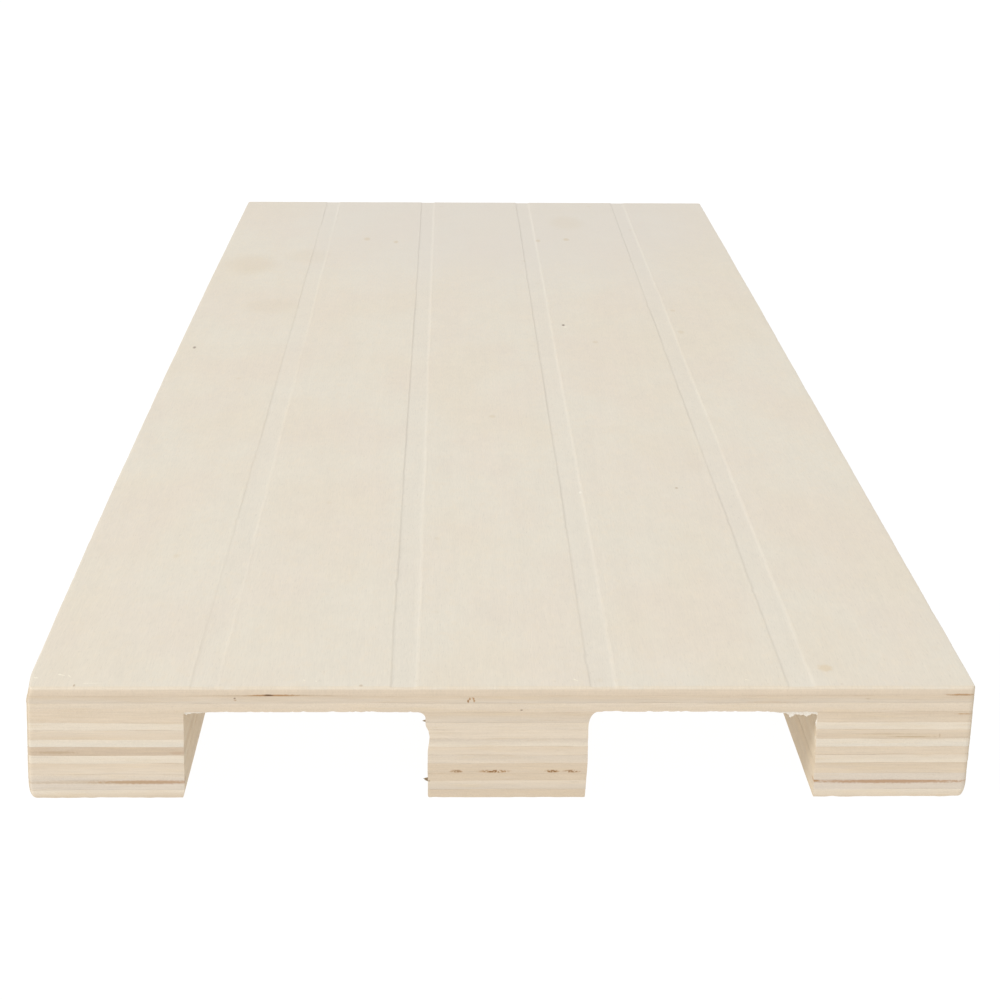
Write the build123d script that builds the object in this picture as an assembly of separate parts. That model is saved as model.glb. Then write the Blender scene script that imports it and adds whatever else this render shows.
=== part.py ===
"""A small one-piece wooden pallet, milled from a blank of 13-ply birch plywood.

Every veneer of the plywood is a solid of its own, as the press laid them up: three veneers make the
deck, and the ten below them are what two milled channels leave standing, as three runners.

Frame, in millimetres: X across the width, Y along the length, Z up. The origin is on the floor, at
the middle of the footprint.
"""

import os

from build123d import *

# Blank
LENGTH = 400.0
WIDTH = 140.0
CORNER_RADIUS = 0.8  # worn upright corners of the blank
TOP_ARRIS = 0.5  # sanded edge round the top of the deck
FOOT_ARRIS = 0.6  # worn edge round the underside of each runner

# The veneers from the top down. They are peeled to about 1.4 mm, and no two come out quite alike
VENEERS = (1.4, 1.05, 1.5, 1.6, 1.2, 1.4, 1.25, 1.3, 1.3, 1.7, 1.05, 1.45, 1.4)
PLIES = len(VENEERS)
DECK_PLIES = 3

# Runners. What they leave free of the width is the two channels
LEFT_RUNNER = 23.7
CENTRE_RUNNER = 23.6
RIGHT_RUNNER = 23.6
CENTRE_RUNNER_OFFSET = 1.1  # the centre runner stands this far to the right of the middle
CHANNEL_CORNER = 1.3  # rounded corner between the centre runner and the deck
CORNER_LIP = 0.1  # flat edge left above that rounded corner

# Shallow grooves that divide the top into five strips
GROOVES = 4
GROOVE_WIDTH = 3.9
GROOVE_DEPTH = 0.3
LEFT_STRIP = 24.85
RIGHT_STRIP = 24.0

OUT = "parts"
OVERCUT = 5.0  # how far a cutter runs past what it cuts


def thickness(ply):
    """The thickness of a ply, counted from 1 at the top."""
    return VENEERS[ply - 1]


def base(ply):
    """The height of a ply's underside above the floor."""
    return sum(VENEERS[ply:])


def sheet(ply, left, right, rounded):
    """A ply from x = left to x = right over the whole length. Its upright corners on the sides named
    in rounded, "left" or "right", are the worn corners of the blank."""
    outline = Pos((left + right) / 2, 0) * Rectangle(right - left, LENGTH)
    for side, order in (("left", 0), ("right", -1)):
        if side in rounded:
            corners = outline.vertices().group_by(Axis.X)[order]
            outline = fillet(corners, CORNER_RADIUS)
    return Pos(0, 0, base(ply)) * extrude(outline, amount=thickness(ply))


def grooves():
    """The cutters of the grooves in the top, evenly spaced between the two outer strips."""
    first = -WIDTH / 2 + LEFT_STRIP
    last = WIDTH / 2 - RIGHT_STRIP - GROOVE_WIDTH
    pitch = (last - first) / (GROOVES - 1)
    top = base(0)
    height = GROOVE_DEPTH + OVERCUT
    cutter = Box(GROOVE_WIDTH, LENGTH + 2 * OVERCUT, height, align=(Align.MIN, Align.CENTER, Align.MIN))
    return [Pos(first + n * pitch, 0, top - GROOVE_DEPTH) * cutter for n in range(GROOVES)]


def deck_ply(ply):
    """A ply of the deck. The first is the face veneer, with the sanded arris and the grooves."""
    veneer = sheet(ply, -WIDTH / 2, WIDTH / 2, ("left", "right"))
    if ply > 1:
        return veneer
    veneer = fillet(veneer.edges().group_by(Axis.Z)[-1], TOP_ARRIS)
    for cutter in grooves():
        veneer -= cutter
    return veneer


def channel_corner(ply, left, right):
    """The ply just below the deck on the centre runner, with its two sides flared to the deck."""
    flare = min(CHANNEL_CORNER, 0.85 * thickness(ply))
    low = base(ply)
    high = low + thickness(ply)
    lip = high - CORNER_LIP
    toe = lip - flare
    with BuildPart() as veneer:
        with BuildSketch(Plane.XZ.offset(-LENGTH / 2)):
            with BuildLine():
                Polyline((left - flare, lip), (left - flare, high), (right + flare, high), (right + flare, lip))
                RadiusArc((right + flare, lip), (right, toe), -flare)
                Polyline((right, toe), (right, low), (left, low), (left, toe))
                RadiusArc((left, toe), (left - flare, lip), -flare)
            make_face()
        extrude(amount=LENGTH)
    return veneer.part


def runner_ply(ply, left, right, rounded, flared):
    """A ply of one runner. The last is the one that stands on the floor."""
    if flared and ply == DECK_PLIES + 1:
        return channel_corner(ply, left, right)
    veneer = sheet(ply, left, right, rounded)
    if ply == PLIES:
        foot_arris = min(FOOT_ARRIS, 0.8 * thickness(ply))
        veneer = fillet(veneer.edges().group_by(Axis.Z)[0], foot_arris)
    return veneer


def kind(ply):
    """How the grain of a ply runs: the odd plies along the length, the even ones across it."""
    if ply == 1:
        return "face"
    if ply == PLIES:
        return "foot"
    return "long" if ply % 2 else "cross"


def main():
    os.makedirs(OUT, exist_ok=True)
    runners = {
        "left": (-WIDTH / 2, -WIDTH / 2 + LEFT_RUNNER, ("left",), False),
        "centre": (
            CENTRE_RUNNER_OFFSET - CENTRE_RUNNER / 2,
            CENTRE_RUNNER_OFFSET + CENTRE_RUNNER / 2,
            (),
            True,
        ),
        "right": (WIDTH / 2 - RIGHT_RUNNER, WIDTH / 2, ("right",), False),
    }
    for ply in range(1, PLIES + 1):
        label = f"ply_{ply:02d}_{kind(ply)}"
        if ply <= DECK_PLIES:
            export_step(deck_ply(ply), f"{OUT}/deck_{label}.step")
            continue
        for name, place in runners.items():
            export_step(runner_ply(ply, *place), f"{OUT}/{name}_runner_{label}.step")


main()
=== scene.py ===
"""The looks of a small one-piece plywood pallet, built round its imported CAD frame.

Every veneer of the CAD model is replaced by a finely meshed piece with worn corners, wandering glue
lines and milled grooves, and gets a procedural wood of its own. The shapes are worked out in
millimetres, and written to the meshes in metres.
"""

import math

import bpy
import numpy as np
from mathutils import Matrix, Vector


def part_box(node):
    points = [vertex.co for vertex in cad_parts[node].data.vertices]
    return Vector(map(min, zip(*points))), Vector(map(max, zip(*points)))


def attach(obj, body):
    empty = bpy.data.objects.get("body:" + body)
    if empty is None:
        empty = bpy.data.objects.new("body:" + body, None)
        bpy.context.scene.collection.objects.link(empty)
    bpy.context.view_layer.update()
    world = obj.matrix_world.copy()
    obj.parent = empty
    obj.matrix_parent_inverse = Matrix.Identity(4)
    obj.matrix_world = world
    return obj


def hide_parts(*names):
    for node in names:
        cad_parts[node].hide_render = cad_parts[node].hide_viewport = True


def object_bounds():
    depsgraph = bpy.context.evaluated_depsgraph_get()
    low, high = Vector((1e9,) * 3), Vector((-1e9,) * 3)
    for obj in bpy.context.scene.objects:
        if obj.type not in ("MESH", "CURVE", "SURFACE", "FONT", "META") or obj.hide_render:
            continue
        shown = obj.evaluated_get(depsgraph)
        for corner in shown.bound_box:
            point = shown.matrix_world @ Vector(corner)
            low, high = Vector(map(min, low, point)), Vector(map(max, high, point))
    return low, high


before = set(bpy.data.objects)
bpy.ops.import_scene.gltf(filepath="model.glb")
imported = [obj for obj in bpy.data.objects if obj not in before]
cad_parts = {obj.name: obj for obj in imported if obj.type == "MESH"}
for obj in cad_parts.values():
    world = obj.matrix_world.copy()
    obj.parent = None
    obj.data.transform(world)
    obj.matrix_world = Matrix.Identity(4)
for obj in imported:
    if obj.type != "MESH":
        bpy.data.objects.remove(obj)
CAD_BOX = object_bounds()

MM = 0.001
LEFT, FRONT, FLOOR = (v / MM for v in CAD_BOX[0])
RIGHT, BACK, TOP = (v / MM for v in CAD_BOX[1])
LENGTH = BACK - FRONT
FACE = "deck_ply_01_face"


def run_of(node):
    """What a veneer is part of: the deck, or one of the runners."""
    return node.split("_ply_")[0]


def ply_of(node):
    """The number of a veneer, counted from the top of the pallet."""
    return int(node.split("_ply_")[1][:2])


def extent(node, axis):
    low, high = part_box(node)
    return low[axis] / MM, high[axis] / MM


PLIES = max(ply_of(node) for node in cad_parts)
DECK_PLIES = max(ply_of(node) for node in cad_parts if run_of(node) == "deck")
GLUE_LINES = {ply_of(node): extent(node, 2)[1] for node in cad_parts}
GLUE_LINES[PLIES + 1] = FLOOR
RUNNERS = {
    run: extent(f"{run}_ply_{PLIES:02d}_foot", 0)
    for run in ("left_runner", "centre_runner", "right_runner")
}
ROOF = GLUE_LINES[DECK_PLIES + 1]  # of the channels


# -------- camera, light and floor

CAMERA_PLACE = (-0.007573, -0.516156, 0.144811)
CAMERA_TURN = 1.3113  # degrees to the right of straight along the pallet
CAMERA_DIP = 17.3291  # degrees below the horizon
CAMERA_ROLL = 0.4441  # degrees
CAMERA_LENS = 84.111
CAMERA_SENSOR = 36.0


def add_camera():
    data = bpy.data.cameras.new("camera")
    data.lens = CAMERA_LENS
    data.sensor_width = CAMERA_SENSOR
    camera = bpy.data.objects.new("camera", data)
    turn = Matrix.Rotation(math.radians(-CAMERA_TURN), 4, "Z")
    dip = Matrix.Rotation(math.radians(90.0 - CAMERA_DIP), 4, "X")
    roll = Matrix.Rotation(math.radians(CAMERA_ROLL), 4, "Z")
    camera.matrix_world = Matrix.Translation(CAMERA_PLACE) @ turn @ dip @ roll
    bpy.context.scene.collection.objects.link(camera)
    bpy.context.scene.camera = camera


WORLD_COLOUR = (1.0, 0.998, 0.992, 1.0)
WORLD_STRENGTH = 0.745
KEY_PLACE = (-1.9, -0.9, 1.6)  # low on the left, to show the grooves
KEY_SIZE = 1.1
KEY_POWER = 28.4


def add_light():
    """An even pale world, and one lamp that looks at the middle of the pallet."""
    world = bpy.data.worlds.new("studio")
    world.use_nodes = True
    background = world.node_tree.nodes["Background"]
    background.inputs["Color"].default_value = WORLD_COLOUR
    background.inputs["Strength"].default_value = WORLD_STRENGTH
    bpy.context.scene.world = world
    lamp = bpy.data.lights.new("key", "AREA")
    lamp.shape = "DISK"
    lamp.size = KEY_SIZE
    lamp.energy = KEY_POWER
    light = bpy.data.objects.new("key", lamp)
    bpy.context.scene.collection.objects.link(light)
    light.location = KEY_PLACE
    light.rotation_euler = Vector(KEY_PLACE).to_track_quat("Z", "Y").to_euler()


FLOOR_REACH = 30.0
FLOOR_COLOUR = (0.06, 0.06, 0.06, 1.0)
FLOOR_GLOW = 0.97  # its own light, so that the pallet casts almost no shadow on it


def add_floor():
    mesh = bpy.data.meshes.new("floor")
    corners = [(x * FLOOR_REACH, y * FLOOR_REACH, 0) for x, y in ((-1, -1), (1, -1), (1, 1), (-1, 1))]
    mesh.from_pydata(corners, [], [(0, 1, 2, 3)])
    floor = bpy.data.objects.new("floor", mesh)
    bpy.context.scene.collection.objects.link(floor)
    paint = bpy.data.materials.new("floor")
    paint.use_nodes = True
    shader = paint.node_tree.nodes["Principled BSDF"]
    shader.inputs["Base Color"].default_value = FLOOR_COLOUR
    shader.inputs["Roughness"].default_value = 0.9
    shader.inputs["Specular IOR Level"].default_value = 0.1
    shader.inputs["Emission Color"].default_value = (1.0, 1.0, 1.0, 1.0)
    shader.inputs["Emission Strength"].default_value = FLOOR_GLOW
    mesh.materials.append(paint)


# -------- shape


def smooth(share):
    """A share from 0 to 1, eased at both ends."""
    return share * share * (3 - 2 * share)


class Wander:
    """Smooth random wandering between -1 and 1 over one or two directions, the same on each run."""

    LONG, SHORT = 1024, 16  # knots each way before it repeats

    def __init__(self, seed):
        self.knots = np.random.default_rng(seed).uniform(-1.0, 1.0, (self.LONG, self.SHORT))

    def __call__(self, u, v=0.0):
        u, v = np.broadcast_arrays(np.asarray(u, float), np.asarray(v, float))
        i, j = np.floor(u).astype(int), np.floor(v).astype(int)
        s, t = u - i, v - j
        s, t = smooth(s), smooth(t)
        i0, i1, j0, j1 = i % self.LONG, (i + 1) % self.LONG, j % self.SHORT, (j + 1) % self.SHORT
        near = self.knots[i0, j0] * (1 - s) + self.knots[i1, j0] * s
        far = self.knots[i0, j1] * (1 - s) + self.knots[i1, j1] * s
        return near * (1 - t) + far * t


def bell(distance, width):
    """1 at no distance, falling smoothly to 0 a few widths away."""
    return np.exp(-((distance / width) ** 2))


def quarter_round(height, radius_across, radius_up):
    """How far a rounded bottom edge draws in at a height above its foot."""
    up = np.clip(1 - height / radius_up, 0, 1)
    return radius_across * (1 - np.sqrt(1 - up**2))


RIM = 0.9  # the band inside a veneer's outline that its rounded corners take up
CORNER_STEPS = 6


def corner_reach(turn, radius):
    """How far the outline lies from the middle of its corner zone, in a direction turned from a side."""
    c, s = math.cos(turn), math.sin(turn)
    straight = RIM - radius
    if RIM * min(c, s) / max(c, s) <= straight:
        return RIM / max(c, s)
    lean = straight * (c + s)
    return lean + math.sqrt(lean**2 - 2 * straight**2 + radius**2)


class Strip:
    """The plan of a veneer: the columns and rows of its inside, and the rim round them, anticlockwise
    from the front left. The radii of its corners come in the order front right, back right, back left,
    front left."""

    def __init__(self, columns, rows, radii):
        self.columns, self.rows = np.asarray(columns), np.asarray(rows)
        last_column, last_row = len(columns) - 1, len(rows) - 1
        sides = (
            ([(i, 0) for i in range(last_column + 1)], (0, -1)),
            ([(last_column, j) for j in range(last_row + 1)], (1, 0)),
            ([(i, last_row) for i in range(last_column, -1, -1)], (0, 1)),
            ([(0, j) for j in range(last_row, -1, -1)], (-1, 0)),
        )
        rim = []  # of each point: its cell, the way it lies from there, and how far
        for (cells, (nx, ny)), radius in zip(sides, radii):
            rim += [(cell, nx, ny, RIM) for cell in cells]
            for step in range(1, CORNER_STEPS):
                turn = math.pi / 2 * step / CORNER_STEPS
                c, s = math.cos(turn), math.sin(turn)
                rim.append((cells[-1], nx * c - ny * s, nx * s + ny * c, corner_reach(turn, radius)))
        self.inner = [cell for cell, *_ in rim]
        self.outward = np.array([(dx, dy) for _, dx, dy, _ in rim])
        corners = np.array([(columns[i], rows[j]) for i, j in self.inner])
        self.place = corners + self.outward * np.array([reach for *_, reach in rim])[:, None]
        self.spread = (self.place - corners) / RIM

    def ring(self, recess, height, inset=0.0):
        """The rim at a height, with its sides and ends drawn in by recess and all of it by inset."""
        inset = np.broadcast_to(inset, len(self.place))[:, None]
        height = np.broadcast_to(height, len(self.place))[:, None]
        return np.hstack([self.place - self.spread * recess - self.outward * inset, height])


def spaced(start, end, step):
    return np.linspace(start, end, max(2, round((end - start) / step) + 1))


def rim_faces(rings, count):
    """The faces of the walls between rings of points that lie one after the other."""
    faces = []
    for ring in range(rings - 1):
        low = ring * count
        for k in range(count):
            after = (k + 1) % count
            faces.append((low + k, low + after, low + count + after, low + count + k))
    return faces


def cap_faces(strip, ring_start, grid_start, upward):
    """The faces of a cap: a band from the rim to the grid, and the grid itself."""
    columns, rows = len(strip.columns), len(strip.rows)
    count = len(strip.place)

    def cell(i, j):
        return grid_start + i * rows + j

    faces = []
    for k in range(count):
        after = (k + 1) % count
        here, there = cell(*strip.inner[k]), cell(*strip.inner[after])
        if here == there:
            faces.append((ring_start + k, ring_start + after, here))
        else:
            faces.append((ring_start + k, ring_start + after, there, here))
    for i in range(columns - 1):
        for j in range(rows - 1):
            faces.append((cell(i, j), cell(i + 1, j), cell(i + 1, j + 1), cell(i, j + 1)))
    return faces if upward else [face[::-1] for face in faces]


def closed_mesh(node, strip, rings, low_grid=None, high_grid=None):
    """A node's veneer, from rings, lowest first, and a cap at each end: a grid of points or one flat face."""
    count = len(strip.place)
    points = list(rings)
    faces = rim_faces(len(rings), count)
    total = len(rings) * count
    for grid, start, upward in ((low_grid, 0, False), (high_grid, total - count, True)):
        if grid is None:
            flat = tuple(range(start, start + count))
            faces.append(flat if upward else flat[::-1])
            continue
        faces += cap_faces(strip, start, total, upward)
        points.append(grid.reshape(-1, 3))
        total += grid.shape[0] * grid.shape[1]
    points = np.vstack(points)
    points[:, 0] += blank_shift(*points.T)
    return new_mesh(node.replace("_ply", "_veneer"), points, faces)


SHARP_TURN = math.radians(38.0)  # faces that turn more than this meet at a sharp edge


def new_mesh(name, points, faces):
    mesh = bpy.data.meshes.new(name)
    mesh.from_pydata((np.asarray(points) * MM).tolist(), [], faces)
    mesh.polygons.foreach_set("use_smooth", [True] * len(mesh.polygons))
    mesh.set_sharp_from_angle(angle=SHARP_TURN)
    mesh.update()
    piece = bpy.data.objects.new(name, mesh)
    bpy.context.scene.collection.objects.link(piece)
    return piece


# Edges and ends of the blank, and how finely they are meshed
OUTER_CORNER = 0.75
INNER_CORNER = 0.05
ARRIS = 0.2
END_STEP = 0.25  # spacing of the points across the ends
SIDE_STEP = 1.0  # spacing of the points along the sides
UNDERSIDE_STEPS = (0.4, 2.0)  # across and along, in a ply whose underside shows
LEVELS = (0.0, 0.05, 0.16, 0.34, 0.5, 0.66, 0.84, 0.95, 1.0)  # shares of a ply's height
FOOT_LEVELS = (0.0, 0.03, 0.08, 0.15, 0.25, 0.4, 0.6, 0.8, 0.95, 1.0)
MITRE = 0.3  # rounding under the ends of the runners

glue_wander = Wander(11)
end_wander = Wander(23)
side_wander = Wander(37)
rough_wander = Wander(41)
gap_wander = Wander(59)
arris_wander = Wander(67)
channel_wander = Wander(71)
top_wander = Wander(83)

GLUE_WAVE = 0.07
GLUE_RIPPLE = 0.035


def glue_height(ply, x, y):
    """The height of the top of a ply, which wanders a little from its glue line."""
    if ply in (1, PLIES + 1):
        return np.full(np.shape(x), GLUE_LINES[ply])
    wide = glue_wander(x / 31.0 + 7.3 * ply, y / 67.0)
    close = glue_wander(x / 4.0 + 41.7 * ply, y / 7.0 + 3.1)
    return GLUE_LINES[ply] + GLUE_WAVE * wide + GLUE_RIPPLE * close


# A sawn face: how far a ply steps back, then the depth, length and row of knots of its drift, its fuzz and
# the gaps at its glue lines
END_CUT = {"step": 0.03, "drift": (0.025, 11.0, 1.0), "fuzz": (0.012, 0.6, 0.0), "gap": (0.05, 7.0, 0.5)}
SIDE_CUT = {"step": 0.015, "drift": (0.025, 23.0, 1.0), "fuzz": (0.01, 1.7, 4.0), "gap": (0.04, 9.0, 2.5)}
FUZZ_ROWS = 2.5  # knots of fuzz from the bottom of a ply to its top
GAP_WIDTH = 0.07  # against a ply's height


def sawn(wander, lane, along, share, cut):
    """How far a sawn face lies in. share runs from 0 at a ply's bottom to 1 at its top."""
    drift_depth, drift_length, drift_row = cut["drift"]
    fuzz_depth, fuzz_length, fuzz_row = cut["fuzz"]
    gap_depth, gap_length, gap_row = cut["gap"]
    step = cut["step"] * (1 + wander(lane, 5.0))
    drift = drift_depth * (1 + wander(along / drift_length + lane, drift_row))
    fuzz = fuzz_depth * (1 + rough_wander(along / fuzz_length + lane, share * FUZZ_ROWS + fuzz_row))
    at_glue = bell(np.minimum(share, 1 - share), GAP_WIDTH)
    gap = gap_depth * at_glue * np.clip(0.4 + gap_wander(along / gap_length + lane, gap_row), 0, 1)
    return step + drift + fuzz + gap


def end_recess(x, height, ply, share, end):
    """How far a ply's sawn end lies behind the CAD face."""
    lane = 3.7 * ply + 50.0 * end
    return sawn(end_wander, lane, x, share, END_CUT) + quarter_round(height, MITRE, MITRE)


def side_recess(y, ply, share, side):
    """How far a ply's long side lies inside the blank's own shape."""
    return sawn(side_wander, 3.7 * ply + 90.0 * side, y, share, SIDE_CUT)


def left_recess(y, height):
    """How far the left side draws in. It is bowed, and leans in to the top at the front, where its top
    corner is worn."""
    bow = np.where(y < 0, 0.45 + 0.5 * height / TOP, 0.6) * (2 * y / LENGTH) ** 2
    worn_corner = bell(y - FRONT, 3.5) * (0.1 + 0.4 * np.clip((height - GLUE_LINES[2] + 0.8) / 2, 0, 1))
    return bow + worn_corner + quarter_round(height, 1.1, 2.6)


def right_recess(y, height):
    """How far the right side draws in: it runs in to the front, and in to the floor."""
    towards_front = np.clip((60 - y) / 260, 0, 1)
    lean = 0.5 * np.clip(1 - height / TOP, 0, 1)
    return 0.45 * towards_front**0.8 + lean + quarter_round(height, 1.0, 2.4)


SIDE_FADE = 8.0  # how far in the blank's own shape reaches


def blank_shift(x, y, height):
    """How far the blank's own shape moves a place across, most at its sides."""
    shares = (np.clip(1 - distance / SIDE_FADE, 0, 1) for distance in (x - LEFT, RIGHT - x))
    left_share, right_share = map(smooth, shares)
    return left_recess(y, height) * left_share - right_recess(y, height) * right_share


def swell(height, across, up):
    """How far a milled side stands out in the rounded corner under the deck."""
    below = np.clip(1 - (ROOF - height) / up, 0, 1)
    return across * (1 - np.sqrt(1 - below**2))


def centre_left_shape(y, height):
    """The left side of the centre runner has a neck, and steps out above it where the cutter wandered.
    Below the neck it stands out only at its ends, where the fibres sprang back."""
    drift = 0.25 * channel_wander(y / 40.0, 12.0)
    neck = (0.4 + 0.08 * channel_wander(y / 25.0, 14.0)) * bell(height - 9.35 - drift, 1.5)
    step = np.clip((height - 10.7 - drift) / 0.8, 0, 1)
    behind = 0.36 * np.clip(np.minimum(y - FRONT, BACK - y) / 2.5, 0, 1)
    return np.maximum(neck, behind * (1 - step)) - 0.3 * step - swell(height, 1.2, 1.0)


def channel_shape(y, height, side, run):
    """The shape of a runner's milled side: how it leans, swells into the deck and is rounded at its foot."""
    rise = height / ROOF
    if run == "centre_runner" and side < 0:
        return centre_left_shape(y, height) + quarter_round(height, 0.4, 0.45)
    if run == "centre_runner":
        lean = 0.36 * np.clip(1 - height / 6, 0, 1)
        return lean - swell(height, 1.3, 2.6) + quarter_round(height, 0.25, 0.35)
    if run == "left_runner":
        return 0.13 - 0.28 * rise - swell(height, 0.2, 0.3) + quarter_round(height, 0.45, 1.6)
    return 0.15 * rise - 0.1 - swell(height, 0.2, 0.3) + quarter_round(height, 0.2, 0.3)


def channel_recess(y, height, ply, share, side, run):
    """How far a runner's milled side lies inside the CAD face, negative where it stands out."""
    lane = 5.3 * ply + 70.0 * side
    drift = 0.05 * channel_wander(y / 17.0 + 70.0 * side, height / 9.0)
    step = 0.012 * (1 + channel_wander(lane, 6.0))
    fuzz = 0.012 * (1 + rough_wander(y / 1.3 + lane, share * FUZZ_ROWS + 8.0))
    return drift + step + fuzz + channel_shape(y, height, side, run)


OUTER_SIDES = (("left_runner", -1), ("right_runner", 1))


def recess(strip, run, ply, height, share):
    """How far the sides and the ends of a ply's rim are drawn in at its height."""
    (x, y), (nx, ny) = strip.place.T, strip.outward.T
    ends = end_recess(x, height, ply, share, np.where(ny < 0, 0.0, 1.0))
    sides = np.zeros(len(x))
    for side in (-1, 1):
        if run == "deck" or (run, side) in OUTER_SIDES:
            drawn = side_recess(y, ply, share, side)
        else:
            drawn = channel_recess(y, height, ply, share, side, run)
        sides = np.where(nx * side > 0, drawn, sides)
    return np.stack([sides, ends], axis=1)


def corner_radii(run):
    left = OUTER_CORNER if run in ("deck", "left_runner") else INNER_CORNER
    right = OUTER_CORNER if run in ("deck", "right_runner") else INNER_CORNER
    return right, right, left, left


def ply_rings(strip, run, ply, levels=LEVELS, top_height=None):
    """The rings of a ply from its lower glue line to its upper one."""
    x, y = strip.place.T
    low = glue_height(ply + 1, x, y)
    high = glue_height(ply, x, y) if top_height is None else top_height
    if ply == DECK_PLIES:
        low = low + torn_roof(x, y)
    if ply == PLIES:
        low = foot_height(run, x, y)
    rings = []
    for share in levels:
        height = low + (high - low) * share
        rings.append(strip.ring(recess(strip, run, ply, height, share), height))
    return rings


def in_channel(x):
    """1 over a channel and 0 over a runner and its rounded corners, with soft borders."""
    open_here = np.ones(np.shape(x))
    for run, (low, high) in RUNNERS.items():
        corner = 1.7 if run == "centre_runner" else 0.4  # the reach of its rounded corners
        middle, half = (low + high) / 2, (high - low) / 2
        open_here *= np.clip((np.abs(x - middle) - half - corner) / 0.8, 0, 1)
    return open_here


def torn_roof(x, y):
    """How much higher than the glue line the cutter left the roof of the channels at their mouths."""
    mouth = bell(np.minimum(y - FRONT, BACK - y), 1.2)
    ragged = np.clip(rough_wander(x / 0.7 + 20.0, 2.0) + 0.6 * rough_wander(x / 0.3, 9.0), 0, 1)
    return in_channel(x) * mouth * (0.01 + 0.13 * ragged)


# Grooves of the top
CAD_FACE = np.array([v.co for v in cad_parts[FACE].data.vertices]) / MM


def groove_edges():
    """The left and right edge of each groove, from the floors of the CAD grooves."""
    heights = CAD_FACE[:, 2]
    floor = np.median(heights[(heights > TOP - 0.5) & (heights < TOP - 0.1)])
    on_floor = CAD_FACE[np.abs(heights - floor) < 0.005]
    xs = sorted({round(float(x), 2) for x in on_floor[:, 0]})
    edges = [x for k, x in enumerate(xs) if k == 0 or x - xs[k - 1] > 0.5]
    return list(zip(edges[::2], edges[1::2]))


GROOVES = groove_edges()
GROOVE_DEPTHS = ((0.05, 0.09), (0.12, 0.15), (0.08, 0.16), (0.1, 0.12))  # at the front and at the back
GROOVE_OFFSETS = (-0.95, -0.55, -0.36, -0.24, -0.15, -0.07, 0.01, 0.09, 0.17, 0.27, 0.5, 0.95)
GROOVE_WALLS = ((-0.15, 0.25), (-0.3, 0.5))  # where the left and the right wall start and end
BURR = 0.02
TOP_ALLOWANCE = 0.045  # the sanded face lies this much under the CAD top, which leaves room for burrs


def face_columns():
    """The columns of the face veneer: even, but gathered at the edges of the grooves. Each of those comes
    with its edge: the x of it, which way its groove lies, and which groove that is."""
    edges = [(x, side, k) for k, pair in enumerate(GROOVES) for x, side in zip(pair, (1, -1))]
    plain = [x for x in spaced(LEFT + RIM, RIGHT - RIM, 1.0) if min(abs(x - e[0]) for e in edges) > 1.2]
    columns = [(x, None) for x in plain]
    columns += [(x + side * offset, (x, side, k)) for x, side, k in edges for offset in GROOVE_OFFSETS]
    columns.sort(key=lambda column: column[0])
    return columns


def groove_share(x):
    """1 on a groove's floor, 0 on the boards, and which groove it is."""
    for k, (left, right) in enumerate(GROOVES):
        inside = min(x - left, right - x)
        if inside > -1.0:
            start, end = GROOVE_WALLS[0 if x - left < right - x else 1]
            share = np.clip((inside - start) / (end - start), 0, 1)
            return smooth(share), k
    return 0.0, None


def top_surface(columns, ys):
    """The points of the top over the columns, at each y: an array of columns by ys by 3."""
    grid = np.zeros((len(columns), len(ys), 3))
    along = (ys - FRONT) / LENGTH
    for i, (x, edge) in enumerate(columns):
        share, groove = groove_share(x)
        shift = burr = 0.0
        if edge is not None:
            edge_x, side, groove = edge
            lane = 13.0 * groove + 3.0 * side
            offset = (x - edge_x) * side
            shift = 0.09 * top_wander(ys / 29.0 + lane, 1.0) + 0.035 * top_wander(ys / 2.3 + lane, 3.0)
            broken = np.clip(top_wander(ys / 2.6 + lane, 11.0) - 0.74, 0, 1)
            shift = (shift - 0.9 * side * broken) * bell(offset, 0.9)
            lift = np.clip(0.45 + top_wander(ys / 7.0 + lane, 7.0), 0, 1)
            burr = BURR * lift * bell(offset + 0.24, 0.13)
        height = TOP - TOP_ALLOWANCE + 0.008 * top_wander(x / 1.9 + 5.0, ys / 60.0) + burr
        if groove is not None:
            front_depth, back_depth = GROOVE_DEPTHS[groove]
            depth = front_depth + (back_depth - front_depth) * along + 0.03 * top_wander(ys / 37.0, groove)
            scallop = 0.012 * top_wander(x / 0.7 + 9.0, ys / 45.0)
            height = height - share * (depth + scallop)
        grid[i, :, 0] = x + shift
        grid[i, :, 1] = ys
        grid[i, :, 2] = height
    return grid


def arris_radius(strip):
    """The sanded edge's radius round the rim: uneven, with a few knocks, and larger at the front left."""
    x, y = strip.place.T
    along = x + y
    radius = ARRIS + 0.06 * arris_wander(along / 5.0, 0.0) + 0.04 * arris_wander(along / 1.1, 4.0)
    knocks = np.clip(arris_wander(along / 1.6 + 300.0, 8.0) - 0.7, 0, 1)
    left_front = 0.1 * bell(x - LEFT, 5.0) * bell(y - FRONT, 5.0)
    return radius + 0.5 * knocks + left_front


ARRIS_STEPS = 5


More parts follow.
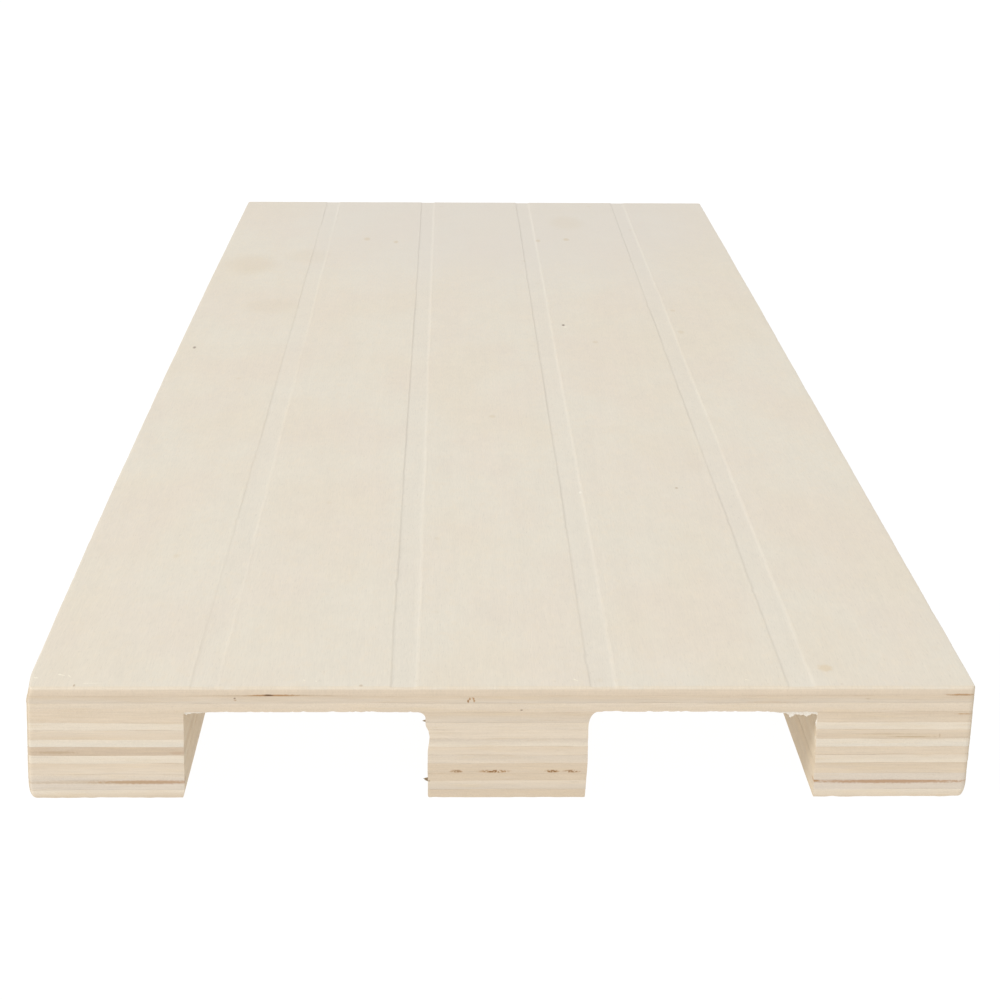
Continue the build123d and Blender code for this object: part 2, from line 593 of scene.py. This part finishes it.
def face_piece():
    columns = face_columns()
    xs = np.array([x for x, _ in columns])
    near, middle = FRONT + 0.25 * LENGTH, FRONT + 0.5 * LENGTH
    zones = ((FRONT + RIM, near, 1.0), (near, middle, 1.4), (middle, BACK - RIM, 2.0))
    rows = np.concatenate([spaced(*zone)[:-1] for zone in zones] + [[BACK - RIM]])
    strip = Strip(xs, rows, corner_radii("deck"))
    grid = top_surface(columns, rows)
    x, y = strip.place.T
    i, j = np.array(strip.inner).T
    at_ends = top_surface(columns, np.array([FRONT, BACK]))
    end = (y > 0).astype(int)
    on_end = np.abs(strip.outward[:, 1]) > 0.999
    crest = np.where(on_end, at_ends[i, end, 2], grid[i, j, 2])
    strip.place[:, 0] += np.where(on_end, at_ends[i, end, 0] - xs[i], 0.0)
    radius = np.minimum(arris_radius(strip), RIM - 0.15)
    share = np.array([groove_share(column)[0] for column in xs])[i] * on_end
    radius = radius * (1 - 0.65 * share)  # smaller in the grooves
    rings = ply_rings(strip, "deck", 1, top_height=crest - radius)
    base = recess(strip, "deck", 1, crest - radius, 1.0)
    for step in range(1, ARRIS_STEPS + 1):
        angle = math.pi / 2 * step / ARRIS_STEPS
        height = crest - radius * (1 - math.sin(angle))
        rings.append(strip.ring(base, height, radius * (1 - math.cos(angle))))
    return closed_mesh(FACE, strip, rings, high_grid=grid)


def flat_grid(strip, height):
    """A grid over the inside of a strip at a height given over x and y."""
    x, y = np.meshgrid(strip.columns, strip.rows, indexing="ij")
    return np.stack([x, y, height(x, y)], axis=-1)


def milled_roof(x, y):
    marks = 0.012 * channel_wander(x / 2.2, y / 3.0) * in_channel(x)
    return glue_height(DECK_PLIES + 1, x, y) + torn_roof(x, y) + marks


def foot_height(run, x, y):
    """The height of a runner's underside: ragged, and a hair off the floor under the two outer runners."""
    lift, teeth = (0.0, 0.08) if run == "centre_runner" else (0.04, 0.1)
    ragged = teeth * (1 + rough_wander(x / 1.2 + 31.0, y / 1.7))
    waves = 0.02 * (1 + rough_wander(x / 3.1, y / 7.0))
    return FLOOR + lift + (ragged + waves)


def veneer_piece(node):
    run, ply = run_of(node), ply_of(node)
    left, right = (LEFT, RIGHT) if run == "deck" else RUNNERS[run]
    across, along = UNDERSIDE_STEPS if ply in (DECK_PLIES, PLIES) else (END_STEP, SIDE_STEP)
    columns, rows = spaced(left + RIM, right - RIM, across), spaced(FRONT + RIM, BACK - RIM, along)
    strip = Strip(columns, rows, corner_radii(run))
    low_grid = None
    if ply == DECK_PLIES:
        low_grid = flat_grid(strip, milled_roof)
    if ply == PLIES:
        low_grid = flat_grid(strip, lambda x, y: foot_height(run, x, y))
    rings = ply_rings(strip, run, ply, FOOT_LEVELS if ply == PLIES else LEVELS)
    return closed_mesh(node, strip, rings, low_grid=low_grid)


# -------- wood


def linear(red, green, blue):
    """A screen's colour, from 0 to 255, as the shaders take it."""
    shares = (c / 255 for c in (red, green, blue))
    return tuple(c / 12.92 if c < 0.04045 else ((c + 0.055) / 1.055) ** 2.4 for c in shares) + (1.0,)


SCREEN_TONES = {
    "cream": (231, 218, 198),
    "ivory": (228, 218, 201),
    "pearl": (221, 208, 191),
    "sand": (226, 211, 190),
    "straw": (223, 206, 183),
    "tan": (217, 199, 175),
    "ash": (217, 203, 184),
    "honey": (224, 203, 169),
    "brown": (209, 189, 165),
    "umber": (186, 162, 130),
    "russet": (186, 150, 118),
    "amber": (176, 134, 88),
    # milled: partly the cutter's burnish, partly painted shade on the sides of the channels
    "soot": (104, 74, 46),
    # painted shade for the outer sides of the pallet
    "milled": (206, 190, 163),
    "painted_side_shade": (200, 182, 155),
    "face": (231, 223, 207),
    "rosy face": (231, 219, 203),
    "warm face": (231, 219, 199),
    "worn edge": (231, 216, 193),
    "groove floor": (230, 223, 209),
    "greyed face": (227, 220, 210),
    "spot": (205, 182, 138),
    "white fibre": (245, 238, 224),
}
TONES = {tone: linear(*colour) for tone, colour in SCREEN_TONES.items()}

# The tone of each ply at its bottom and at its top, from the uppermost down
DECK_TONES = (("tan", "sand"), ("ash", "tan"), ("straw", "sand"))
RUNNER_TONES = {
    "left_runner": (
        ("straw", "straw"), ("cream", "cream"), ("straw", "sand"), ("ivory", "cream"), ("brown", "brown"),
        ("cream", "cream"), ("sand", "straw"), ("pearl", "sand"), ("pearl", "pearl"), ("tan", "cream"),
    ),
    "centre_runner": (
        ("ash", "tan"), ("sand", "sand"), ("sand", "sand"), ("cream", "ash"), ("sand", "straw"),
        ("sand", "ash"), ("tan", "tan"), ("tan", "tan"), ("ash", "sand"), ("tan", "tan"),
    ),
    "right_runner": (
        ("straw", "tan"), ("cream", "cream"), ("tan", "straw"), ("ivory", "cream"), ("straw", "straw"),
        ("cream", "sand"), ("straw", "tan"), ("pearl", "pearl"), ("pearl", "pearl"), ("straw", "cream"),
    ),
}


RELIEF = 0.06  # the height of the bumps in the wood


class Wood:
    """A material's node graph, with short names for the nodes that wood takes. Places are in millimetres."""

    def __init__(self, name):
        self.material = bpy.data.materials.new(name)
        self.material.use_nodes = True
        self.tree = self.material.node_tree
        self.shader = self.tree.nodes["Principled BSDF"]
        coordinates = self.add("ShaderNodeTexCoord").outputs
        self.place = self.vector("SCALE", {0: coordinates["Object"], "Scale": 1 / MM})
        self.x, self.y, self.z = self.parts(self.place)
        self.facing = self.parts(coordinates["Normal"])

    def feed(self, node, inputs):
        """Gives a node its inputs, by name or number: each a value or the output of another node."""
        for key, source in inputs.items():
            if isinstance(source, (int, float, tuple)):
                node.inputs[key].default_value = source
            else:
                self.tree.links.new(source, node.inputs[key])

    def add(self, kind, inputs=None, **settings):
        node = self.tree.nodes.new(kind)
        for key, value in settings.items():
            setattr(node, key, value)
        self.feed(node, inputs or {})
        return node

    def parts(self, vector):
        """The x, y and z of a vector."""
        return self.add("ShaderNodeSeparateXYZ", {0: vector}).outputs

    def vector(self, operation, inputs):
        return self.add("ShaderNodeVectorMath", inputs, operation=operation).outputs[0]

    def calculate(self, operation, a, b=0.0):
        return self.add("ShaderNodeMath", {0: a, 1: b}, operation=operation).outputs[0]

    def sum(self, *terms):
        total = terms[0]
        for term in terms[1:]:
            total = self.calculate("ADD", total, term)
        return total

    def times(self, *factors):
        product = factors[0]
        for factor in factors[1:]:
            product = self.calculate("MULTIPLY", product, factor)
        return product

    def span(self, value, low, high, to_low=0.0, to_high=1.0, kind="SMOOTHSTEP"):
        """value taken from low..high to to_low..to_high, and held at its ends."""
        inputs = {"Value": value, "From Min": low, "From Max": high, "To Min": to_low, "To Max": to_high}
        return self.add("ShaderNodeMapRange", inputs, interpolation_type=kind).outputs["Result"]

    def swing(self, noise, amount):
        """A noise turned into plus or minus about this amount."""
        return self.span(noise, 0.3, 0.7, -amount, amount, "LINEAR")

    def stretched(self, lengths, offset):
        """Places in a space where lengths, in millimetres along x, y and z, are each 1."""
        scaled = self.vector("DIVIDE", {0: self.place, 1: lengths})
        return self.vector("ADD", {0: scaled, 1: (offset, 1.7 * offset, 0.6 * offset)})

    def noise(self, lengths, offset, detail=2.0, roughness=0.5, distortion=0.0):
        """Noise whose blobs have these lengths."""
        inputs = {"Vector": self.stretched(lengths, offset), "Scale": 1.0, "Detail": detail}
        inputs |= {"Roughness": roughness, "Distortion": distortion}
        return self.add("ShaderNodeTexNoise", inputs).outputs[0]

    def specks(self, lengths, offset, size, share):
        """Scattered specks, 1 at their middle. size is against lengths, share is how many cells have one."""
        inputs = {"Vector": self.stretched(lengths, offset), "Scale": 1.0}
        node = self.add("ShaderNodeTexVoronoi", inputs, feature="F1")
        chosen = self.add("ShaderNodeSeparateColor", {0: node.outputs["Color"]})
        here = self.span(chosen.outputs[0], share, share * 0.9)
        return self.times(self.span(node.outputs["Distance"], size, size * 0.3), here)

    def mix(self, share, a, b):
        return self.add("ShaderNodeMix", {0: share, 6: a, 7: b}, data_type="RGBA").outputs[2]

    def tinted(self, colour, tone, *shares):
        """The colour mixed with a tone by the product of the shares."""
        return self.mix(self.times(*shares), colour, TONES[tone])

    def brightened(self, colour, change):
        """A colour made lighter or darker by a share of itself."""
        vector = colour[:3] if isinstance(colour, tuple) else colour
        return self.vector("SCALE", {0: vector, "Scale": self.sum(change, 1.0)})

    def from_end(self):
        """How far a place lies from the nearer end of the pallet."""
        return self.calculate("SUBTRACT", BACK, self.calculate("ABSOLUTE", self.y))

    def on_side(self):
        """1 where the surface faces left or right."""
        return self.span(self.calculate("ABSOLUTE", self.facing[0]), 0.45, 0.8)

    def on_outside(self):
        """1 near the left and right sides of the whole pallet, 0 further in."""
        return self.span(self.calculate("ABSOLUTE", self.x), RIGHT - 6.0, RIGHT - 5.0)

    def oval(self, up, within, centre, half_size, ragged, seed):
        """A soft oval, 1 in its middle. Its centre and half size are across and up the surface it is on."""
        a = self.times(self.sum(self.x, -centre[0]), 1 / half_size[0])
        b = self.times(self.sum(up, -centre[1]), 1 / half_size[1])
        distance = self.calculate("SQRT", self.sum(self.times(a, a), self.times(b, b)))
        wobble = self.times(self.sum(self.noise((0.5, 0.5, 0.3), seed), -0.5), ragged * 2)
        return self.times(self.span(self.sum(distance, wobble), 1.0, 0.35), within)

    def front_mark(self, *numbers):
        """An oval at an (x, z) place on the front end."""
        return self.oval(self.z, self.span(self.y, FRONT + 1.0, FRONT + 2.5, 1.0, 0.0), *numbers)

    def top_mark(self, *numbers):
        """An oval at an (x, y) place on the top."""
        return self.oval(self.y, self.span(self.z, TOP - 0.9, TOP - 0.6), *numbers)

    def finish(self, colour, roughness, height, strength, specular=0.25):
        """Sets the shader. height is the relief, from 0 to 1."""
        bump = self.add("ShaderNodeBump", {"Strength": strength, "Distance": RELIEF * MM, "Height": height})
        looks = {"Base Color": colour, "Roughness": roughness, "Specular IOR Level": specular}
        self.feed(self.shader, looks | {"Normal": bump.outputs[0]})
        return self.material


def grain_lengths(along_length, across, along, up):
    """Lengths for noise stretched along the grain."""
    return (across, along, up) if along_length else (along, across, up)


RUN_SEEDS = {"deck": 0, "left_runner": 101, "centre_runner": 203, "right_runner": 307}


def veneer_wood(node, tones):
    """The wood of one veneer, seen on its edges: streaks that follow its growth rings, fibres along its
    grain, and pores that show as dots where the grain ends."""
    run, ply = run_of(node), ply_of(node)
    along_length = ply % 2 == 1
    seed = 3.1 * ply + RUN_SEEDS[run]
    wood = Wood(node)
    low, high = GLUE_LINES[ply + 1], GLUE_LINES[ply]
    drift = wood.noise((10.0, 26.0, 1.1), seed + 1)
    level = wood.sum(wood.z, wood.times(wood.sum(drift, -0.5), 1.1))
    colour = wood.mix(wood.span(level, low, high), TONES[tones[0]], TONES[tones[1]])

    rings = wood.noise((7.0, 60.0, 0.15) if along_length else (18.0, 30.0, 0.14), seed + 2, 3.0, 0.7, 0.3)
    broad = wood.noise((9.0, 40.0, 0.8), seed + 3, 2.0)
    warm = wood.noise((7.0, 30.0, 0.5), seed + 8, 3.0, 0.6)
    fibres = wood.noise(grain_lengths(along_length, 0.14, 5.0, 0.11), seed + 4, 2.0, 0.65)
    pores = wood.noise(grain_lengths(along_length, 0.14, 1.6, 0.14), seed + 5, 1.0)
    fuzz = wood.noise((0.16, 0.2, 0.14), seed + 6, 2.0, 0.6)

    colour = wood.tinted(colour, "honey", wood.span(warm, 0.5, 0.75, 0.0, 0.3))
    colour = wood.tinted(colour, "pearl", wood.span(warm, 0.46, 0.25, 0.0, 0.3))
    colour = wood.tinted(colour, "umber", wood.span(rings, 0.54, 0.8, 0.0, 0.42))
    pore = wood.span(pores, 0.66, 0.8)
    edge = wood.calculate("MINIMUM", wood.sum(wood.z, -low), wood.calculate("SUBTRACT", high, wood.z))
    open_here = wood.span(wood.noise((6.0, 15.0, 2.0), seed + 7), 0.4, 0.65)
    seam = wood.times(wood.span(edge, 0.12, 0.0), open_here)
    shade = wood.sum(
        wood.swing(rings, 0.048),
        wood.swing(broad, 0.022),
        wood.swing(fibres, 0.04),
        wood.swing(fuzz, 0.034),
        wood.times(pore, -0.07),
        wood.times(seam, -0.05),
    )
    # the sides of the channels: partly burnished, partly painted shade
    if ply > DECK_PLIES:
        colour = milled_and_shaded_side(wood, colour)
    # painted shade on the outer sides of the pallet
    colour = painted_outer_shade(wood, colour)
    colour = wood.brightened(colour, shade)
    colour = marked(wood, node, colour)

    roughness = wood.span(fibres, 0.3, 0.7, 0.62, 0.8, "LINEAR")
    height = wood.sum(wood.times(fibres, 0.45), wood.times(fuzz, 0.4), wood.times(rings, 0.35))
    height = wood.sum(height, wood.times(pore, -0.5))
    return wood.finish(colour, roughness, height, 0.45)


def painted_outer_shade(wood, colour):
    """The colour, darkened a little on the outer sides of the pallet: painted shade that tones down the key
    light on them.
    """
    return wood.tinted(colour, "painted_side_shade", wood.on_side(), wood.on_outside(), 0.75)


def milled_and_shaded_side(wood, colour):
    """The colour, dulled and mottled on the sides of a channel: partly the cutter's burnish, partly painted
    shade where the deck keeps the light off.
    """
    side = wood.times(wood.on_side(), wood.calculate("SUBTRACT", 1.0, wood.on_outside()))
    mottle = wood.noise((4.0, 2.2, 1.4), 9.0, 3.0, 0.6)
    dulled = wood.brightened(TONES["milled"], wood.swing(mottle, 0.05))
    return wood.mix(wood.times(side, 0.72), colour, dulled)


# Marks on the front end: the ply, the tone, the place (x, z), the half size and how strong it is
FRONT_MARKS = (
    ("deck", 1, "umber", (-32.5, 16.3), (14.0, 0.16), 0.4),
    ("deck", 1, "amber", (-33.0, 16.33), (5.4, 0.2), 0.9),
    ("deck", 1, "soot", (-33.8, 16.36), (1.0, 0.2), 0.95),
    ("deck", 1, "amber", (67.4, 16.36), (2.9, 0.2), 0.85),
    ("deck", 2, "soot", (-38.66, 15.88), (0.22, 0.16), 0.75),
    ("deck", 2, "amber", (-38.6, 15.6), (0.3, 0.18), 0.5),
    ("deck", 2, "amber", (-4.74, 15.42), (0.19, 0.32), 0.9),
    ("deck", 2, "amber", (-4.5, 15.74), (0.19, 0.3), 0.9),
    ("deck", 2, "amber", (-3.96, 15.78), (0.18, 0.28), 0.85),
    ("deck", 2, "amber", (-3.86, 15.46), (0.18, 0.32), 0.85),
    ("deck", 2, "amber", (-4.1, 15.95), (0.2, 0.11), 0.5),
    ("deck", 2, "soot", (-4.76, 15.4), (0.1, 0.22), 0.55),
    ("deck", 2, "brown", (39.2, 15.24), (5.4, 0.14), 0.75),
    ("deck", 2, "umber", (53.7, 15.75), (0.5, 0.2), 0.35),
    ("deck", 3, "soot", (3.05, 13.98), (0.28, 0.17), 0.6),
    ("right_runner", 4, "amber", (67.9, 13.33), (1.6, 0.13), 0.65),
    ("right_runner", 4, "brown", (62.0, 13.42), (6.0, 0.14), 0.5),
    ("right_runner", 6, "umber", (60.4, 9.72), (4.4, 0.16), 0.6),
    ("right_runner", 6, "umber", (57.0, 10.15), (6.4, 0.13), 0.4),
    ("right_runner", 6, "umber", (64.6, 9.9), (0.16, 0.45), 0.5),
    ("right_runner", 12, "russet", (58.0, 2.62), (17.0, 0.42), 0.9),
    ("right_runner", 12, "amber", (46.5, 2.75), (0.9, 0.26), 0.85),
    ("left_runner", 12, "russet", (-51.8, 2.64), (11.0, 0.38), 0.85),
    ("left_runner", 12, "umber", (-60.0, 2.62), (16.0, 0.34), 0.4),
    ("left_runner", 8, "umber", (-65.2, 7.35), (4.5, 0.3), 0.55),
    ("left_runner", 8, "russet", (-47.2, 7.3), (1.8, 0.3), 0.3),
)
# Rows of brown flecks in one ply: from x to x and how strong, at one height
FLECKED = ("centre_runner", 10)
FLECK_ROWS = ((-7.7, -5.1, 0.7), (-3.9, 2.0, 1.0), (6.3, 9.0, 1.0), (8.7, 12.4, 0.75))
FLECK_HEIGHT = 4.3


def marked(wood, node, colour):
    """The colour with the marks that this piece has."""
    here = (run_of(node), ply_of(node))
    for index, (run, ply, tone, centre, half_size, strength) in enumerate(FRONT_MARKS):
        if (run, ply) == here:
            mark = wood.front_mark(centre, half_size, 0.45, 7.0 * index)
            colour = wood.tinted(colour, tone, mark, strength)
    if here == FLECKED:
        dots = wood.span(wood.noise((0.32, 1.0, 0.3), 5.0, 1.0), 0.34, 0.5)
        for start, end, strength in FLECK_ROWS:
            row = wood.front_mark(((start + end) / 2, FLECK_HEIGHT), ((end - start) / 2, 0.32), 0.2, start)
            colour = wood.tinted(colour, "amber", row, dots, strength)
            core = wood.span(wood.times(row, dots), 0.7, 1.0)
            colour = wood.tinted(colour, "soot", core, strength, 0.5)
    return colour


def face_wood():
    """The sanded face: pale, with faint clouds and figure, dark pores, a few spots and cooler grooves."""
    wood = Wood(FACE)
    clouds = wood.noise((24.0, 50.0, 30.0), 2.0, 3.0, 0.55)
    blush = wood.noise((17.0, 38.0, 30.0), 47.0, 2.0)
    figure = wood.noise((3.0, 60.0, 9.0), 8.0, 3.0, 0.55, 0.6)
    fibres = wood.noise((0.3, 9.0, 0.6), 14.0, 3.0, 0.65)
    hairs = wood.noise((0.17, 2.6, 0.4), 19.0, 2.0)
    pores = wood.noise((0.16, 1.7, 0.4), 25.0, 1.0)
    patches = wood.noise((5.0, 7.0, 9.0), 31.0, 3.0)
    mottle = wood.noise((1.3, 2.6, 3.0), 53.0, 3.0, 0.6)
    groove = wood.span(wood.z, TOP - 0.13, TOP - 0.07, 1.0, 0.0)
    on_top = wood.span(wood.z, TOP - 0.5, TOP - 0.2)

    top = wood.tinted(TONES["face"], "warm face", wood.span(clouds, 0.38, 0.66, 0.0, 0.55))
    top = wood.tinted(top, "rosy face", wood.span(blush, 0.42, 0.66, 0.0, 0.5))
    top = wood.tinted(top, "warm face", wood.span(mottle, 0.5, 0.68, 0.0, 0.4))
    top = wood.tinted(top, "groove floor", groove, 0.4)
    worn = wood.times(wood.span(wood.from_end(), 0.9, 0.3), wood.span(patches, 0.2, 0.5))
    top = wood.tinted(top, "worn edge", worn, 0.75)
    side = wood.tinted(TONES["tan"], "straw", wood.span(wood.z, GLUE_LINES[2], GLUE_LINES[2] + 1.1))
    colour = wood.mix(on_top, side, top)

    rings = wood.noise((14.0, 60.0, 0.17), 40.0, 3.0, 0.65)
    off_top = wood.calculate("SUBTRACT", 1.0, on_top)
    shade = wood.sum(
        wood.swing(figure, 0.008),
        wood.swing(fibres, 0.018),
        wood.swing(hairs, 0.022),
        wood.swing(patches, 0.01),
        wood.swing(mottle, 0.012),
        wood.times(wood.span(pores, 0.62, 0.78), -0.08),
        wood.times(wood.swing(rings, 0.045), off_top),
    )
    colour = wood.brightened(colour, shade)
    spots = wood.times(wood.specks((11.0, 20.0, 40.0), 3.0, 0.09, 0.42), on_top)
    colour = wood.tinted(colour, "spot", spots, 0.26)
    cracks = wood.times(wood.specks((2.6, 4.0, 40.0), 18.0, 0.16, 0.3), wood.span(wood.from_end(), 3.4, 1.6))
    colour = wood.tinted(colour, "umber", cracks, on_top, 0.5)
    for index, (centre, half_size, tone, strength) in enumerate(TOP_MARKS):
        mark = wood.top_mark(centre, half_size, 0.35, 5.0 * index)
        colour = wood.tinted(colour, tone, mark, strength)
    # painted shade on the outer sides of the pallet, then the marks
    colour = marked(wood, FACE, painted_outer_shade(wood, colour))

    roughness = wood.span(fibres, 0.3, 0.7, 0.5, 0.64, "LINEAR")
    height = wood.sum(wood.times(fibres, 0.5), wood.times(hairs, 0.35), wood.times(pores, -0.3))
    return wood.finish(colour, roughness, height, 0.3, specular=0.5)


# Marks on the top: the place (x, y), the half size, the tone and how strong it is
TOP_MARKS = (
    ((10.0, 190.0), (100.0, 150.0), "greyed face", 0.6),
    ((19.9, 33.0), (0.5, 1.1), "soot", 0.75),
    ((20.3, 31.0), (0.5, 0.8), "white fibre", 0.8),
    ((-66.2, 9.3), (0.5, 1.4), "soot", 0.6),
    ((48.5, -192.3), (1.5, 1.9), "honey", 0.6),
    ((-30.9, 140.5), (1.2, 3.0), "spot", 0.34),
    ((-22.6, 136.2), (0.9, 2.6), "spot", 0.36),
    ((25.7, 140.5), (1.2, 2.8), "spot", 0.36),
    ((17.7, 138.6), (0.9, 2.4), "spot", 0.34),
    ((27.0, 166.0), (6.5, 14.0), "spot", 0.1),
    ((-60.5, 104.0), (9.0, 17.0), "spot", 0.13),
    ((-46.0, 116.0), (8.0, 13.0), "spot", 0.09),
    ((-52.0, 53.0), (9.0, 11.0), "spot", 0.1),
    ((-62.0, -199.0), (0.2, 0.6), "umber", 0.7),
    ((39.8, -84.0), (2.2, 10.0), "russet", 0.05),
    ((34.8, -100.8), (0.4, 0.8), "umber", 0.6),
    ((16.7, -103.4), (0.35, 0.9), "white fibre", 0.9),
    ((1.4, -50.5), (0.9, 1.5), "spot", 0.25),
    ((26.6, 15.5), (0.9, 1.7), "spot", 0.25),
    ((47.7, 26.0), (1.0, 2.2), "spot", 0.25),
)


# -------- splinters and torn fibres


SLIVER_SIDES = 6
SLIVER_STEPS = 5


def sliver(start, direction, length, thickness, flatness):
    """The points and faces of one thin pointed splinter."""
    start, direction = np.array(start, float), np.array(direction, float)
    direction = direction / np.linalg.norm(direction)
    across = np.cross(direction, (0.0, 0.0, 1.0))
    across = across / np.linalg.norm(across)
    upward = np.cross(across, direction)
    points = []
    for step in range(SLIVER_STEPS):
        share = step / SLIVER_STEPS
        middle = start + direction * length * share
        wide = thickness * (1 - share) ** 0.7
        for k in range(SLIVER_SIDES):
            turn = 2 * math.pi * k / SLIVER_SIDES
            points.append(middle + across * wide * math.cos(turn) + upward * flatness * wide * math.sin(turn))
    points.append(start + direction * length)
    tip = SLIVER_STEPS * SLIVER_SIDES
    last = tip - SLIVER_SIDES
    faces = rim_faces(SLIVER_STEPS, SLIVER_SIDES)
    faces += [(last + k, last + (k + 1) % SLIVER_SIDES, tip) for k in range(SLIVER_SIDES)]
    faces.append(tuple(range(SLIVER_SIDES - 1, -1, -1)))
    return points, faces


def splinters(name, slivers, flatness):
    """One piece that holds all the given slivers."""
    points, faces = [], []
    for numbers in slivers:
        new_points, new_faces = sliver(*numbers, flatness)
        faces += [tuple(len(points) + v for v in face) for face in new_faces]
        points += new_points
    return new_mesh(name, points, faces)


FRINGE_STEP = 0.05
FRINGE_ROOT = 0.16  # thickness of a fringe where it leaves the wood


def fringe(name, start, along, hang, into, length, reach, ragged_share, seed):
    """A thin edge of torn fibres, that runs along from a start, hangs one way and is thick into the wood.
    reach says how far it hangs at a share of its length, and ragged_share how much that varies."""
    ragged = Wander(seed)
    start, along, hang, into = (np.array(v, float) for v in (start, along, hang, into))
    places = np.arange(0, length, FRINGE_STEP)
    tufts = 0.5 + 0.5 * ragged(places / 0.8)
    teeth = 0.5 + 0.5 * ragged(places / 0.16, 5.0)
    shares = np.clip(1.5 * tufts - 0.2, 0, 1) * (0.35 + 0.65 * teeth)
    drops = np.array([reach(place / length) for place in places]) * (1 - ragged_share * (1 - shares))
    curl = 0.04 * ragged(places / 0.5, 9.0)
    points = []
    for place, drop, bend in zip(places, drops, curl):
        root = start + along * place
        tip = root + hang * (drop + 0.02)
        points += [root, tip + into * (0.03 + bend), tip + into * (0.06 + bend), root + into * FRINGE_ROOT]
    end = 4 * (len(places) - 1)
    faces = rim_faces(len(places), 4) + [(3, 2, 1, 0), (end, end + 1, end + 2, end + 3)]
    return new_mesh(name, points, faces)


FIBRE_ROUGHNESS = 0.8


def fibre_wood(name, pale, deep):
    wood = Wood(name)
    streaks = wood.noise((0.12, 0.12, 0.4), 3.0)
    colour = wood.mix(wood.span(streaks, 0.3, 0.7), pale, deep)
    return wood.finish(colour, FIBRE_ROUGHNESS, streaks, 0.2)


def fading(reach, power):
    """How far a fringe hangs that gets shorter all along."""
    return lambda share: reach * (1 - share) ** power


def right_reach(share):
    """How far the right fringes hang: most before the middle, and least at the end."""
    return (0.75 + 0.4 * bell(share - 0.38, 0.2)) * np.clip((1 - share) / 0.25, 0, 1) ** 1.3


def add_fringes():
    pale = fibre_wood("torn_fibres", linear(244, 238, 226), linear(230, 219, 203))
    left, right = RUNNERS["left_runner"][1], RUNNERS["right_runner"][0]
    down, root = (0, 0, -1), ROOF + 0.05
    for word, end, towards in (("front", FRONT, 1), ("back", BACK, -1)):
        into = (0, towards, 0)
        y = end + 0.2 * towards
        shapes = (
            ("left", (left - 0.1, y, root), (1, 0, 0), down, 4.6, 0.7, fading(0.5, 0.7)),
            ("right", (right + 0.1, y, root), (-1, 0, 0), down, 7.4, 0.68, right_reach),
            ("left_side", (left - 0.05, y, root), down, (1, 0, 0), 1.6, 0.9, fading(0.16, 1.0)),
            ("right_side", (right + 0.1, y, root), down, (-1, 0, 0), 7.5, 1.0, fading(0.6, 0.6)),
        )
        for index, (place, start, along, hang, length, ragged, reach) in enumerate(shapes):
            name = f"{word}_fringe_{place}"
            piece = fringe(name, start, along, hang, into, length, reach, ragged, 301 + index)
            finish_piece(piece, pale)


def add_splinters():
    pale = fibre_wood("lifted_slivers", linear(250, 244, 228), linear(240, 230, 208))
    top = TOP - 0.055
    lifted = (
        ((-68.3, -195.9, top - 0.03), (1.5, -0.5, 0.0), 1.6, 0.34),
        ((-64.9, -194.6, top - 0.03), (1.6, -0.9, 0.0), 2.0, 0.34),
        ((-63.4, -195.0, top), (0.9, -1.6, 0.0), 1.4, 0.15),
        ((-60.8, -198.2, top), (1.0, 0.03, 0.0), 3.4, 0.14),
        ((-60.8, -198.3, top - 0.05), (-0.5, -1.2, -0.3), 1.1, 0.1),
        ((-28.8, -196.9, top), (0.9, -1.6, -0.05), 2.2, 0.17),
        ((-27.0, -197.3, top), (0.4, -1.8, -0.1), 1.6, 0.15),
        ((10.8, -196.7, top), (1.8, -2.1, -0.05), 2.8, 0.17),
        ((36.0, -196.9, top), (1.5, -0.6, 0.0), 1.2, 0.14),
    )
    finish_piece(splinters("lifted_face_slivers", lifted, 0.22), pale)

    dark = fibre_wood("dark_splinters", linear(168, 148, 118), linear(118, 98, 74))
    side = RUNNERS["centre_runner"][0] + 0.3
    chips = (
        ((side - 0.2, FRONT + 0.5, 12.15), (-1.0, -0.1, 0.05), 0.85, 0.42),
        ((side, FRONT + 0.5, 3.0), (-1.0, -0.1, 0.0), 0.95, 0.34),
        ((side, FRONT + 0.4, 2.75), (-1.0, -0.05, 0.15), 0.8, 0.4),
    )
    finish_piece(splinters("centre_runner_splinters", chips, 0.5), dark)


# -------- the pallet


def finish_piece(piece, material):
    piece.data.materials.append(material)
    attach(piece, "root")


def add_pallet():
    for node in sorted(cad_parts):
        run, ply = run_of(node), ply_of(node)
        if node == FACE:
            piece, material = face_piece(), face_wood()
        else:
            tones = DECK_TONES[ply - 1] if run == "deck" else RUNNER_TONES[run][ply - DECK_PLIES - 1]
            piece, material = veneer_piece(node), veneer_wood(node, tones)
        finish_piece(piece, material)
        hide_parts(node)


def set_colour_management():
    view = bpy.context.scene.view_settings
    view.view_transform = "Standard"
    view.look = "None"
    view.exposure = 0.0
    view.gamma = 1.0


add_camera()
add_light()
add_floor()
set_colour_management()
add_pallet()
add_fringes()
add_splinters()
